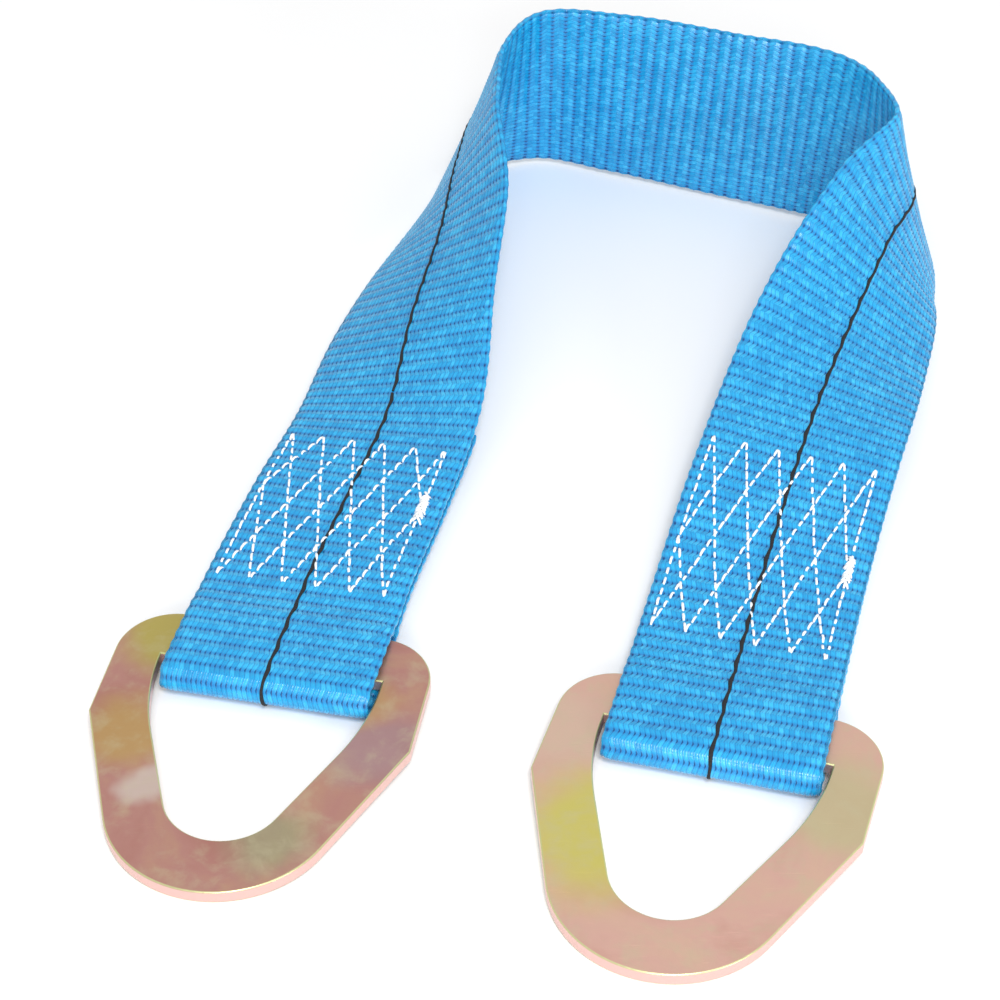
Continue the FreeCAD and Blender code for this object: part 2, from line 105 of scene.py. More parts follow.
# Tracer: one jog sideways in two ribs, mostly one way and then quickly back
TRACER_STEP, TRACER_JOG, JOG_TURN = 0.35, 0.42, 0.62
TRACER_INSET = 0.6                  # the tracer stops this short of a cut end

# Making of the mesh
FINE = 0.2                          # distance between samples of the webbing's middle line
POINT_SMOOTHING, WIDTH_SMOOTHING = 1.3, 2.0
SELVEDGE = 0.8                      # radius of the woven edge, across the webbing
SELVEDGE_INSET = 0.25               # the edge is this much thinner than the ply, on each face
BACK_FACE = 60.0                    # weave-map column where the inner face starts
TUBE_SIDES = 8

# Where the ribbon is cut into lengths, from each flex line, and the reach given with each joint between two
# bodies
LEFT_SPLIT, RIGHT_SPLIT = 82.0, 100.0
CORNER_REACH, FLEX_REACH = 22.0, 8.0

# ------------------------------------------------------------ route of the webbing
STATIONS = np.concatenate([[0.0], np.cumsum(np.linalg.norm(np.diff(ROUTE[:, :3], axis=0), axis=1))])
ROUTE_LENGTH = STATIONS[-1]


def slopes(values):
    """Slope of a smooth curve through values at each station."""
    rises = np.diff(values) / np.diff(STATIONS)
    before, after = np.diff(STATIONS)[:-1], np.diff(STATIONS)[1:]
    inner = (rises[:-1] * after + rises[1:] * before) / (before + after)
    return np.concatenate([rises[:1], inner, rises[-1:]])


def along(column, distance):
    """One column of ROUTE at distances along it."""
    values = ROUTE[:, column]
    tilt = slopes(values)
    i = np.clip(np.searchsorted(STATIONS, distance, side="right") - 1, 0, len(STATIONS) - 2)
    span = STATIONS[i + 1] - STATIONS[i]
    t = (distance - STATIONS[i]) / span
    return ((2 * t**3 - 3 * t**2 + 1) * values[i] + (t**3 - 2 * t**2 + t) * span * tilt[i]
            + (3 * t**2 - 2 * t**3) * values[i + 1] + (t**3 - t**2) * span * tilt[i + 1])


def unit(vectors):
    return vectors / np.linalg.norm(vectors, axis=-1, keepdims=True)


def route_frame(distance):
    """Middle of the webbing, its width direction and its outer normal, at distances along the route."""
    step = 0.05
    middle, ahead, behind = (
        np.stack([along(k, distance + d) for k in range(3)], axis=-1) for d in (0.0, step, -step))
    direction = unit(ahead - behind)
    inward = unit(np.cross(direction, [0.0, 0.0, 1.0]))
    lean = np.radians(along(3, distance))[:, None]
    width = inward * np.cos(lean) + np.cross(inward, direction) * np.sin(lean)
    return middle, width, np.cross(width, direction)


def loop_profile(side):
    """Middle of the ply round the bar, from the top of the flex line to the bottom, in the bar's plane."""
    end = ROUTE[0 if side == "left" else -1]
    half = RING_THICK / 2 + BAR_CLEARANCE + WEB_THICK / 2
    front, back = BAR_WIDTH / 2 + LOOP_PLAY, BAR_WIDTH / 2 + LOOP_SLACK
    top = end[2] - BAR_HEIGHT
    turn = np.radians(np.linspace(90.0, 270.0, 60))
    points = [(HINGE_REACH, top), (back, half)]
    points += [(-front + half * math.cos(t), half * math.sin(t)) for t in turn]
    points += [(back, -half), (HINGE_REACH, top - PLY_STEP)]
    return np.array(points)


def resampled(points, step):
    """Evenly spaced points along a polyline."""
    marks = np.concatenate([[0.0], np.cumsum(np.linalg.norm(np.diff(points, axis=0), axis=1))])
    count = max(2, int(round(marks[-1] / step)) + 1)
    at = np.linspace(0.0, marks[-1], count)
    return np.stack([np.interp(at, marks, points[:, k]) for k in range(points.shape[1])], axis=-1)


def end_of_web(side):
    """Loop and lap of one end, as (points, widths), from the flex line outwards to the cut end."""
    x, y, heading = BARS[side]
    ahead = np.array([math.sin(math.radians(heading)), math.cos(math.radians(heading)), 0.0])
    profile = resampled(loop_profile(side), FINE)
    up = np.array([0.0, 0.0, 1.0])
    points = np.array([x, y, BAR_HEIGHT]) + profile[:, :1] * ahead + profile[:, 1:] * up
    travel = ahead if side == "left" else -ahead
    width = np.cross(travel, up)
    widths = np.tile(width, (len(points), 1))
    reach = np.arange(FINE, SEWING[side]["lap_end"], FINE)
    middle, lap_width, normal = route_frame(reach if side == "left" else ROUTE_LENGTH - reach)
    return (np.concatenate([points[1:], middle - normal * PLY_STEP]),
            np.concatenate([widths[1:], lap_width]))


def smoothed(values, reach):
    """Gaussian smoothing along the first axis; the ends stay where they are."""
    count = int(reach * 4 / FINE)
    kernel = np.exp(-0.5 * (np.arange(-count, count + 1) * FINE / reach) ** 2)
    kernel /= kernel.sum()
    before = 2 * values[:1] - values[count:0:-1]
    after = 2 * values[-1:] - values[-2:-count - 2:-1]
    padded = np.concatenate([before, values, after])
    columns = [np.convolve(padded[:, k], kernel, mode="valid") for k in range(values.shape[1])]
    return np.stack(columns, axis=-1)


def whole_web():
    """Distance, middle, width and direction along the whole webbing, cut end to cut end."""
    left_points, left_widths = end_of_web("left")
    right_points, right_widths = end_of_web("right")
    distance = np.linspace(0.0, ROUTE_LENGTH, int(ROUTE_LENGTH / FINE) + 1)
    middle, width, _ = route_frame(distance)
    points = np.concatenate([left_points[::-1], middle, right_points])
    widths = np.concatenate([left_widths[::-1], width, right_widths])
    points, widths = smoothed(points, POINT_SMOOTHING), unit(smoothed(widths, WIDTH_SMOOTHING))
    marks = np.concatenate([[0.0], np.cumsum(np.linalg.norm(np.diff(points, axis=0), axis=1))])
    marks -= marks[len(left_points)]
    direction = unit(np.gradient(points, marks, axis=0))
    widths = unit(widths - direction * np.sum(widths * direction, axis=1, keepdims=True))
    return marks, points, widths, direction


MARKS, POINTS, WIDTHS, DIRECTIONS = whole_web()
LEFT_CUT, RIGHT_CUT = MARKS[0], MARKS[-1]


def mark_of_route(distance):
    """Distance along the webbing of a distance along the route, which smoothing shortens a little."""
    middle, _, _ = route_frame(np.atleast_1d(float(distance)))
    on_route = (MARKS > -2.0) & (MARKS < ROUTE_LENGTH + 4.0)
    return float(MARKS[on_route][np.argmin(np.linalg.norm(POINTS[on_route] - middle, axis=1))])


def web_at(q):
    """Middle, width, direction and normal at distances q along the webbing."""
    middle, width, direction = (
        np.stack([np.interp(q, MARKS, table[:, k]) for k in range(3)], axis=-1)
        for table in (POINTS, WIDTHS, DIRECTIONS))
    width, direction = unit(width), unit(direction)
    return middle, width, direction, unit(np.cross(width, direction))


# ------------------------------------------------------------ mesh helpers
def new_mesh(name, vertices, faces, material, uv, uv_name="weave", normals=None):
    """Smooth mesh object in metres from vertices in millimetres; faces is an array of quads.

    normals are for each corner of each face, and uv too.
    """
    mesh = bpy.data.meshes.new(name)
    vertices, faces = np.asarray(vertices, float), np.asarray(faces, np.int32)
    mesh.vertices.add(len(vertices))
    mesh.vertices.foreach_set("co", (vertices * MM).astype(np.float32).ravel())
    mesh.loops.add(faces.size)
    mesh.loops.foreach_set("vertex_index", faces.ravel())
    mesh.polygons.add(len(faces))
    mesh.polygons.foreach_set("loop_start", np.arange(0, faces.size, 4, dtype=np.int32))
    mesh.polygons.foreach_set("use_smooth", np.ones(len(faces), bool))
    mesh.update(calc_edges=True)
    layer = mesh.uv_layers.new(name=uv_name)
    layer.data.foreach_set("uv", np.asarray(uv, np.float32).ravel())
    mesh.materials.append(material)
    mesh.validate()
    if normals is not None:
        mesh.normals_split_custom_set(normals.tolist())
    thing = bpy.data.objects.new(name, mesh)
    bpy.context.scene.collection.objects.link(thing)
    return thing


def grid_faces(rows, ring):
    """Quads of a closed tube of rows rings with ring points each."""
    base = np.arange(rows - 1)[:, None] * ring
    k = np.arange(ring)[None, :]
    following = (k + 1) % ring
    corners = [base + k, base + following, base + ring + following, base + ring + k]
    return np.stack(corners, axis=-1).reshape(-1, 4)


# ------------------------------------------------------------ node helpers
def new_material(name):
    material = bpy.data.materials.new(name)
    material.use_nodes = True
    tree = material.node_tree
    shader = tree.nodes["Principled BSDF"]
    return material, tree, shader


def value(tree, operation, *inputs, clamp=False):
    """Math node; inputs are sockets or numbers."""
    node = tree.nodes.new("ShaderNodeMath")
    node.operation, node.use_clamp = operation, clamp
    for socket, item in zip(node.inputs, inputs):
        if isinstance(item, (int, float)):
            socket.default_value = item
        else:
            tree.links.new(item, socket)
    return node.outputs[0]


def ramp(tree, source, stops):
    """Colour ramp; stops are (position, colour)."""
    node = tree.nodes.new("ShaderNodeValToRGB")
    while len(node.color_ramp.elements) < len(stops):
        node.color_ramp.elements.new(0.5)
    for element, (position, colour) in zip(node.color_ramp.elements, stops):
        element.position, element.color = position, (*colour, 1.0)
    tree.links.new(source, node.inputs[0])
    return node.outputs[0]


def rescale(tree, source, low, high, to_low=0.0, to_high=1.0):
    """Smooth step from one range to another, which may fall."""
    node = tree.nodes.new("ShaderNodeMapRange")
    node.interpolation_type = "SMOOTHSTEP"
    for socket, item in zip(node.inputs[1:5], (low, high, to_low, to_high)):
        socket.default_value = item
    tree.links.new(source, node.inputs[0])
    return node.outputs[0]


def mix(tree, factor, a, b):
    """Colour mix; a and b are sockets or colours."""
    node = tree.nodes.new("ShaderNodeMix")
    node.data_type, node.blend_type = "RGBA", "MIX"
    sockets = [s for s in node.inputs if s.type == "RGBA"]
    for socket, item in ((node.inputs[0], factor), (sockets[0], a), (sockets[1], b)):
        if isinstance(item, (int, float)):
            socket.default_value = item
        elif isinstance(item, tuple):
            socket.default_value = (*item, 1.0)
        else:
            tree.links.new(item, socket)
    return next(s for s in node.outputs if s.type == "RGBA")


def noise(tree, vector, scale, detail=2.0, rough=0.5, distortion=0.0):
    node = tree.nodes.new("ShaderNodeTexNoise")
    node.inputs["Scale"].default_value = scale
    node.inputs["Detail"].default_value = detail
    node.inputs["Roughness"].default_value = rough
    node.inputs["Distortion"].default_value = distortion
    if vector is not None:
        tree.links.new(vector, node.inputs["Vector"])
    return node.outputs["Fac"]


def combine(tree, x, y, z=0.0):
    node = tree.nodes.new("ShaderNodeCombineXYZ")
    for socket, item in zip(node.inputs, (x, y, z)):
        if isinstance(item, (int, float)):
            socket.default_value = item
        else:
            tree.links.new(item, socket)
    return node.outputs[0]


def scaled(tree, x, y, x_scale, y_scale):
    """Two coordinates, each with its own scale, as one vector."""
    return combine(tree, value(tree, "MULTIPLY", x, x_scale), value(tree, "MULTIPLY", y, y_scale))


def separate(tree, vector):
    node = tree.nodes.new("ShaderNodeSeparateXYZ")
    tree.links.new(vector, node.inputs[0])
    return node.outputs


def uv_of(tree, name):
    node = tree.nodes.new("ShaderNodeUVMap")
    node.uv_map = name
    return node.outputs[0]


def bump(tree, height, strength, distance, before=None):
    node = tree.nodes.new("ShaderNodeBump")
    node.inputs["Strength"].default_value = strength
    node.inputs["Distance"].default_value = distance
    tree.links.new(height, node.inputs["Height"])
    if before is not None:
        tree.links.new(before, node.inputs["Normal"])
    return node.outputs[0]


# ------------------------------------------------------------ materials
def webbing_material():
    """Glossy blue yarns. The weave map counts floats across and ribs along, and follows the yarns' lean."""
    material, tree, shader = new_material("webbing_blue")
    across, rib, _ = separate(tree, uv_of(tree, "weave"))
    from_slit = value(tree, "PINGPONG", across, 0.5)               # 0 between two floats, 0.5 on a float
    from_valley = value(tree, "PINGPONG", rib, 0.5)                # 0 in a valley, 0.5 on a crest
    half_shift = value(tree, "PINGPONG", value(tree, "ADD", across, 0.5), 0.5)
    slit = rescale(tree, from_slit, 0.02, 0.20, 1.0, 0.0)
    near_valley = rescale(tree, from_valley, 0.02, 0.20, 1.0, 0.0)
    hole = value(tree, "MULTIPLY", slit, near_valley)
    crest_slit = value(tree, "MULTIPLY", rescale(tree, half_shift, 0.02, 0.16, 1.0, 0.0),
                       rescale(tree, from_valley, 0.34, 0.49, 0.0, 1.0))
    # each float and each filament differs a little
    cell = tree.nodes.new("ShaderNodeTexWhiteNoise")
    cell.noise_dimensions = "2D"
    half_rib = value(tree, "FLOOR", value(tree, "MULTIPLY", rib, 2.0))
    tree.links.new(combine(tree, value(tree, "FLOOR", across), half_rib), cell.inputs["Vector"])
    filaments = noise(tree, scaled(tree, across, rib, 7.0, 2.2), 1.0, 2.0, 0.6)
    patches = noise(tree, scaled(tree, across, rib, 0.08, 0.22), 1.0, 3.0, 0.55)
    finer = value(tree, "ADD", value(tree, "MULTIPLY", filaments, 0.45),
                  value(tree, "MULTIPLY", patches, 0.35))
    tone = value(tree, "ADD", value(tree, "MULTIPLY", cell.outputs["Value"], 0.30), finer)
    colour = ramp(tree, tone, [
        (0.20, (0.001, 0.21, 0.48)), (0.55, (0.006, 0.35, 0.68)), (0.90, (0.06, 0.56, 0.88))])
    # painted shade: the colour darkens into each rib valley, where shade falls between the ribs
    valley = rescale(tree, from_valley, 0.02, 0.26, 0.55, 0.0)
    colour = mix(tree, valley, colour, (0.002, 0.13, 0.46))
    # painted shade: the colour darkens in the slits between floats and at each crest, and most in the holes
    # where the floats dive
    colour = mix(tree, value(tree, "MULTIPLY", slit, 0.45), colour, (0.002, 0.13, 0.46))
    colour = mix(tree, value(tree, "MULTIPLY", crest_slit, 0.35), colour, (0.002, 0.10, 0.42))
    colour = mix(tree, value(tree, "MULTIPLY", hole, 0.92), colour, (0.001, 0.030, 0.16))
    tree.links.new(colour, shader.inputs["Base Color"])
    rough = value(tree, "ADD", rescale(tree, filaments, 0.3, 0.7, 0.20, 0.36),
                  value(tree, "MULTIPLY", hole, 0.4), clamp=True)
    tree.links.new(rough, shader.inputs["Roughness"])
    shader.inputs["IOR"].default_value = 1.58
    shader.inputs["Sheen Weight"].default_value = 0.10
    shader.inputs["Sheen Roughness"].default_value = 0.35
    shader.inputs["Sheen Tint"].default_value = (0.55, 0.80, 1.0, 1.0)
    # the finer shape: round floats, holes between them, and filaments
    round_float = value(tree, "SQRT", value(tree, "MULTIPLY", from_slit, 2.0))
    height = value(tree, "MULTIPLY", round_float, 0.75)
    height = value(tree, "SUBTRACT", height, value(tree, "MULTIPLY", hole, 0.9))
    height = value(tree, "SUBTRACT", height, value(tree, "MULTIPLY", crest_slit, 0.30))
    shape = bump(tree, height, 0.55, 0.00022)
    shape = bump(tree, filaments, 0.30, 0.00012, shape)
    tree.links.new(shape, shader.inputs["Normal"])
    return material


def thread_material(name, groove_shade, light, roughness, sheen):
    """Twisted thread. The yarn map goes round the thread and along it."""
    material, tree, shader = new_material(name)
    round_it, along_it, _ = separate(tree, uv_of(tree, "yarn"))
    twist = value(tree, "ADD", value(tree, "MULTIPLY", round_it, 2.0),
                  value(tree, "MULTIPLY", along_it, 1.1))
    strand = value(tree, "PINGPONG", value(tree, "FRACT", twist), 0.5)
    fuzz = noise(tree, scaled(tree, round_it, along_it, 9.0, 3.0), 1.0, 3.0)
    tone = value(tree, "ADD", value(tree, "MULTIPLY", strand, 1.2), value(tree, "MULTIPLY", fuzz, 0.6))
    # painted shade: the colour darkens from the middle of each strand into the grooves of the twist
    tree.links.new(ramp(tree, tone, [(0.15, groove_shade), (0.65, light)]), shader.inputs["Base Color"])
    shader.inputs["Roughness"].default_value = roughness
    shader.inputs["Sheen Weight"].default_value = sheen
    tree.links.new(bump(tree, tone, 0.6, 0.00012), shader.inputs["Normal"])
    return material


PATCH_WARP = 0.014                  # how far noise moves the edge of a tint, metres
PATCH_HEIGHT = 0.006                # height of the middle of each tint, metres


def zinc_material(name, patches, base):
    """Yellow zinc plate with rainbow tints. patches are (x, y, reach, colour, strength) in millimetres."""
    material, tree, shader = new_material(name)
    coordinates = tree.nodes.new("ShaderNodeTexCoord")
    place = coordinates.outputs["Object"]
    geometry = tree.nodes.new("ShaderNodeNewGeometry")
    cloud = noise(tree, place, 38.0, 4.0, 0.62, 0.6)
    fine = noise(tree, place, 160.0, 4.0, 0.6, 0.3)
    colour = ramp(tree, cloud, base)
    warp = tree.nodes.new("ShaderNodeVectorMath")
    warp.operation = "MULTIPLY_ADD"
    noise_node = tree.nodes.new("ShaderNodeTexNoise")
    noise_node.inputs["Scale"].default_value = 55.0
    noise_node.inputs["Detail"].default_value = 3.0
    tree.links.new(place, noise_node.inputs["Vector"])
    tree.links.new(noise_node.outputs["Color"], warp.inputs[0])
    warp.inputs[1].default_value = (PATCH_WARP, PATCH_WARP, 0.0)
    tree.links.new(place, warp.inputs[2])
    for x, y, reach, tint, strength in patches:
        distance = tree.nodes.new("ShaderNodeVectorMath")
        distance.operation = "DISTANCE"
        tree.links.new(warp.outputs[0], distance.inputs[0])
        distance.inputs[1].default_value = (x * MM + PATCH_WARP / 2, y * MM + PATCH_WARP / 2, PATCH_HEIGHT)
        amount = rescale(tree, distance.outputs["Value"], reach * 0.35 * MM, reach * MM, strength, 0.0)
        colour = mix(tree, amount, colour, tint)
    colour = mix(tree, rescale(tree, fine, 0.45, 0.75, 0.0, 0.35), colour, (0.62, 0.56, 0.36))
    up = separate(tree, geometry.outputs["True Normal"])[2]
    # the rolled rim catches green and yellow, the sheared wall below it is pale
    level = value(tree, "ABSOLUTE", up)
    side = rescale(tree, level, 0.15, 0.55, 1.0, 0.0)
    rim = value(tree, "MULTIPLY", rescale(tree, level, 0.25, 0.70, 0.0, 1.0),
                rescale(tree, level, 0.93, 0.995, 1.0, 0.0))
    colour = mix(tree, side, colour, (0.72, 0.48, 0.44))
    colour = mix(tree, value(tree, "MULTIPLY", rim, 0.8), colour, (0.62, 0.66, 0.32))
    tree.links.new(colour, shader.inputs["Base Color"])
    shader.inputs["Metallic"].default_value = 0.75
    # scratches: long thin noise in three directions
    scratches = None
    for angle, scale in ((20.0, 1.0), (-35.0, 0.8), (75.0, 1.2)):
        mapping = tree.nodes.new("ShaderNodeMapping")
        mapping.inputs["Rotation"].default_value = (0.0, 0.0, math.radians(angle))
        mapping.inputs["Scale"].default_value = (130.0 * scale, 1500.0 * scale, 60.0)
        tree.links.new(place, mapping.inputs["Vector"])
        streak = rescale(tree, noise(tree, mapping.outputs[0], 1.0, 2.0, 0.5), 0.66, 0.76)
        scratches = streak if scratches is None else value(tree, "MAXIMUM", scratches, streak)
    grain = noise(tree, place, 900.0, 3.0, 0.6)
    rough = value(tree, "ADD", rescale(tree, grain, 0.3, 0.7, 0.30, 0.42),
                  value(tree, "MULTIPLY", scratches, 0.12))
    tree.links.new(rough, shader.inputs["Roughness"])
    height = value(tree, "SUBTRACT", value(tree, "MULTIPLY", grain, 0.4),
                   value(tree, "MULTIPLY", scratches, 0.6))
    tree.links.new(bump(tree, height, 0.25, 0.00010), shader.inputs["Normal"])
    return material


BLUE = webbing_material()
BLACK = thread_material("tracer_black", (0.004, 0.004, 0.006), (0.012, 0.011, 0.014), 0.8, 0.0)
WHITE = thread_material("thread_white", (0.62, 0.66, 0.70), (0.92, 0.93, 0.93), 0.45, 0.2)


# ------------------------------------------------------------ webbing
def sewn(q):
    """1 where the two plies are sewn together, 0 elsewhere."""
    amount = np.zeros_like(q)
    for side in ("left", "right"):
        plan = SEWING[side]
        s = q if side == "left" else MARK_END - q
        past_near = np.clip((s - plan["near"] + 6) / 6, 0, 1)
        before_far = np.clip((plan["far"] + 6 - s) / 6, 0, 1)
        amount = np.maximum(amount, past_near * before_far)
    return amount


def swing(q):
    """Sideways place of a warp yarn, which leans one way in one row of floats and back in the next."""
    phase = (q / RIB) % 1.0
    return FLOAT_LEAN * (1.0 - 4.0 * np.abs(phase - 0.5))


def web_rings(q):
    """Rings of points round the webbing at distances q, and their weave coordinates."""
    middle, width, _, normal = web_at(q)
    phase = (q / RIB) % 1.0
    crest = 0.5 - 0.5 * np.cos(2 * np.pi * phase)
    rib = RIB_DEPTH * (1.0 + 0.35 * sewn(q)) * (1.0 - crest)
    half = WEB_WIDTH / 2 - SCALLOP * (1.0 - crest)
    shift = swing(q)
    columns = np.arange(FLOATS * SAMPLES_PER_FLOAT + 1) / SAMPLES_PER_FLOAT
    flat = (columns / FLOATS - 0.5) * (WEB_WIDTH - 2 * SELVEDGE)
    from_edge = np.minimum(columns, FLOATS - columns)
    # the outermost floats don't swing, so that the selvedge stays closed
    across = flat[None, :] * (half / (WEB_WIDTH / 2))[:, None]
    across = across + shift[:, None] * np.clip(from_edge, 0, 1)[None, :]
    dip = FLOAT_DEPTH * (np.abs(((columns + 0.5) % 1.0) - 0.5) < 1e-6)
    shoulder = 0.35 * np.clip(1.0 - from_edge / 1.5, 0, 1) ** 2
    height = WEB_THICK / 2 - rib[:, None] - dip[None, :] - shoulder[None, :]

    def place(u, h):
        return middle[:, None, :] + width[:, None, :] * u[:, :, None] + normal[:, None, :] * h[:, :, None]

    top = place(across, height)
    bottom = place(across[:, ::-1], -height[:, ::-1])
    angles = np.radians([40.0, 0.0, -40.0])
    edge_u = half[:, None] - SELVEDGE + SELVEDGE * np.cos(angles)[None, :]
    edge_h = (WEB_THICK / 2 - SELVEDGE_INSET) * np.sin(angles)[None, :] * np.ones_like(edge_u)
    right = place(edge_u, edge_h)
    left = place(-edge_u, -edge_h)
    points = np.concatenate([top, right, bottom, left], axis=1)
    edge_columns = FLOATS + np.array([0.2, 0.5, 0.8])
    around = np.concatenate([columns, edge_columns])
    columns_round = np.concatenate([around, BACK_FACE + around, [2 * BACK_FACE]])
    return points, columns_round


def web_piece(name, start, end):
    """One length of webbing between two distances that are whole numbers of ribs, or a cut end."""
    step = RIB / ROWS_PER_RIB
    first, last = int(math.ceil(start / step - 1e-6)), int(math.floor(end / step + 1e-6))
    q = np.arange(first, last + 1) * step
    # one row more at each end, so that the shading runs on across the seam between two lengths
    points, columns = web_rings(np.concatenate([[q[0] - step], q, [q[-1] + step]]))
    lengthwise = points[2:] - points[:-2]
    points = points[1:-1]
    around = np.roll(points, -1, axis=1) - np.roll(points, 1, axis=1)
    normals = unit(np.cross(lengthwise, around) + 1e-9)
    rows, ring = points.shape[:2]
    ahead = unit(points[[1, -1]].mean(axis=1) - points[[0, -2]].mean(axis=1))
    vertices = points.reshape(-1, 3)
    faces = grid_faces(rows, ring)[:, ::-1]
    normals = normals.reshape(-1, 3)[faces].reshape(-1, 3)
    # weave map: each quad knows its own corners, so that the map can wrap
    k = np.tile(np.arange(ring), rows - 1)
    row = np.repeat(np.arange(rows - 1), ring)
    low, high = columns[k], columns[k + 1]
    v = q / RIB
    uv = np.stack([
        np.stack([low, v[row + 1]], -1), np.stack([high, v[row + 1]], -1),
        np.stack([high, v[row]], -1), np.stack([low, v[row]], -1)], axis=1)
    # caps: the ring is closed by strips between its top and its bottom
    count = FLOATS * SAMPLES_PER_FLOAT + 1
    caps, cap_uv = [], []
    for at, flip in ((0, False), (rows - 1, True)):
        base = at * ring
        for j in range(count - 1):
            quad = [base + j, base + j + 1, base + 2 * count + 2 - j - 1, base + 2 * count + 2 - j]
            caps.append(quad[::-1] if flip else quad)
            cap_uv.append([(columns[j], v[at])] * 4)
        right_edge, left_edge = base + count, base + 2 * count + 3
        for quad in ([right_edge - 1, right_edge, right_edge + 2, right_edge + 3],
                     [base, left_edge - 1, left_edge, left_edge + 2]):
            caps.append(quad[::-1] if flip else quad)
            cap_uv.append([(0.0, v[at])] * 4)
    faces = np.concatenate([faces, np.array(caps)])
    uv = np.concatenate([uv, np.array(cap_uv)])
    cap_normals = np.repeat([-ahead[0], ahead[1]], len(caps) // 2 * 4, axis=0)
    normals = np.concatenate([normals, cap_normals])
    return new_mesh(name, vertices, faces, BLUE, uv, normals=normals)


MARK_END = mark_of_route(ROUTE_LENGTH)
LEFT_FOLD, RIGHT_FOLD = mark_of_route(STATIONS[LEFT_CORNER]), mark_of_route(STATIONS[RIGHT_CORNER])


def whole_ribs(distance):
    return round(distance / RIB) * RIB


SEAM_LEFT = whole_ribs(LEFT_SPLIT)
SEAM_MIDDLE = whole_ribs((LEFT_FOLD + RIGHT_FOLD) / 2)
SEAM_RIGHT = whole_ribs(MARK_END - RIGHT_SPLIT)


def blend_at(piece, body_a, body_b, mark, reach):
    """Bakes the piece's transform into its mesh. body_a, body_b, mark and reach are not used."""
    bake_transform(piece)


LENGTHS = [
    ("web_left", LEFT_CUT, SEAM_LEFT, ("left_loop", "left_arm"), 0.0, FLEX_REACH),
    ("web_back_left", SEAM_LEFT, SEAM_MIDDLE, ("left_arm", "back"), LEFT_FOLD, CORNER_REACH),
    ("web_back_right", SEAM_MIDDLE, SEAM_RIGHT, ("back", "right_arm"), RIGHT_FOLD, CORNER_REACH),
    ("web_right", SEAM_RIGHT, RIGHT_CUT, ("right_arm", "right_loop"), MARK_END, FLEX_REACH),
]
STANDS_FOR = {
    "web_left": ["web_left_loop", "web_left_lap", "web_left_arm"], "web_back_left": ["web_back_panel"],
    "web_back_right": ["web_back_panel"], "web_right": ["web_right_loop", "web_right_lap", "web_right_arm"],
}
webs, tracers = {}, {}
for name, start, end, bodies, mark, reach in LENGTHS:
    web = web_piece(name, start, end)
    blend_at(web, *bodies, mark, reach)
    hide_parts(*STANDS_FOR[name])
    webs[name] = web


# ------------------------------------------------------------ tracer and sewing
def tube(path, across, upward, widths, heights):
    """Elliptical tube along path: points of its rings, and how far along each ring is."""
    angles = np.linspace(0, 2 * np.pi, TUBE_SIDES, endpoint=False)
    rings = (path[:, None, :] + across[:, None, :] * (widths[:, None, None] * np.cos(angles)[None, :, None])
             + upward[:, None, :] * (heights[:, None, None] * np.sin(angles)[None, :, None]))
    marks = np.concatenate([[0.0], np.cumsum(np.linalg.norm(np.diff(path, axis=0), axis=1))])
    return rings, marks


class Strands:
    """Collects tubes into one mesh."""

    def __init__(self):
        self.vertices, self.faces, self.uv, self.count = [], [], [], 0

    def add(self, path, across, upward, widths, heights):
        rings, marks = tube(path, across, upward, widths, heights)
        rows, sides = len(rings), TUBE_SIDES
        faces = grid_faces(rows, sides)
        k, row = np.tile(np.arange(sides), rows - 1), np.repeat(np.arange(rows - 1), sides)
        low, high = k / sides, (k + 1) / sides
        uv = np.stack([np.stack([low, marks[row]], -1), np.stack([high, marks[row]], -1),
                       np.stack([high, marks[row + 1]], -1), np.stack([low, marks[row + 1]], -1)], axis=1)
        caps = [[0, 1, 2, 3], [0, 3, 4, 7], [7, 4, 5, 6]]
        last = (rows - 1) * sides
        cap_faces = [c[::-1] for c in caps] + [[last + i for i in c] for c in caps]
        self.vertices.append(rings.reshape(-1, 3))
        self.faces.append(np.concatenate([faces, np.array(cap_faces, int).reshape(-1, 4)]) + self.count)
        self.uv.append(np.concatenate([uv, np.zeros((len(cap_faces), 4, 2))]))
        self.count += rows * sides

    def build(self, name, material):
        return new_mesh(name, np.concatenate(self.vertices), np.concatenate(self.faces), material,
                        np.concatenate(self.uv), "yarn")


def tracer_piece(name, start, end):
    """Dark yarn along the middle of the outer face. It jogs sideways every second rib."""
    q = np.arange(start, end + 0.01, TRACER_STEP)
    middle, width, _, normal = web_at(q)
    beat = (q / (2 * RIB)) % 1.0
    back = (beat - JOG_TURN) / (1.0 - JOG_TURN)
    jog = TRACER_JOG * np.where(beat < JOG_TURN, beat / JOG_TURN - 0.5, 0.5 - back)
    fat = 0.5 + 0.5 * np.cos(2 * np.pi * (beat - JOG_TURN))
    crest = 0.5 - 0.5 * np.cos(2 * np.pi * (q / RIB))
    level = WEB_THICK / 2 - 0.10 - 0.14 * (1 - crest)
    path = middle + width * jog[:, None] + normal * (level[:, None] + 0.06)
    strands = Strands()
    strands.add(path, width, normal, 0.36 + 0.18 * fat, np.full(len(q), 0.30))
    return strands.build(name, BLACK)


TRACER_NODES = {"web_left": "tracer_left", "web_right": "tracer_right"}
for name, start, end, bodies, mark, reach in LENGTHS:
    stop = end - (0.0 if end < RIGHT_CUT else TRACER_INSET)
    tracer = tracer_piece(name.replace("web", "tracer_yarn"), start + TRACER_INSET, stop)
    blend_at(tracer, *bodies, mark, reach)
    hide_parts(TRACER_NODES.get(name, "tracer_back"))
    tracers[name] = tracer


def sewing_point(side, turn):
    """(distance from the flex line, across to the right) of a needle turn."""
    plan = SEWING[side]
    if turn in ("L", "R"):
        right = STITCH_PITCH * (2.5 if turn == "R" else -2.5) + SEAM_SHIFT
        return plan["half_way"] + right * (plan["near_skew"] + plan["far_skew"]) / 2, right
    right = STITCH_PITCH * (int(turn[1]) - 3.5) + SEAM_SHIFT
    row, skew = ("near", "near_skew") if turn[0] == "N" else ("far", "far_skew")
    return plan[row] + right * plan[skew], right


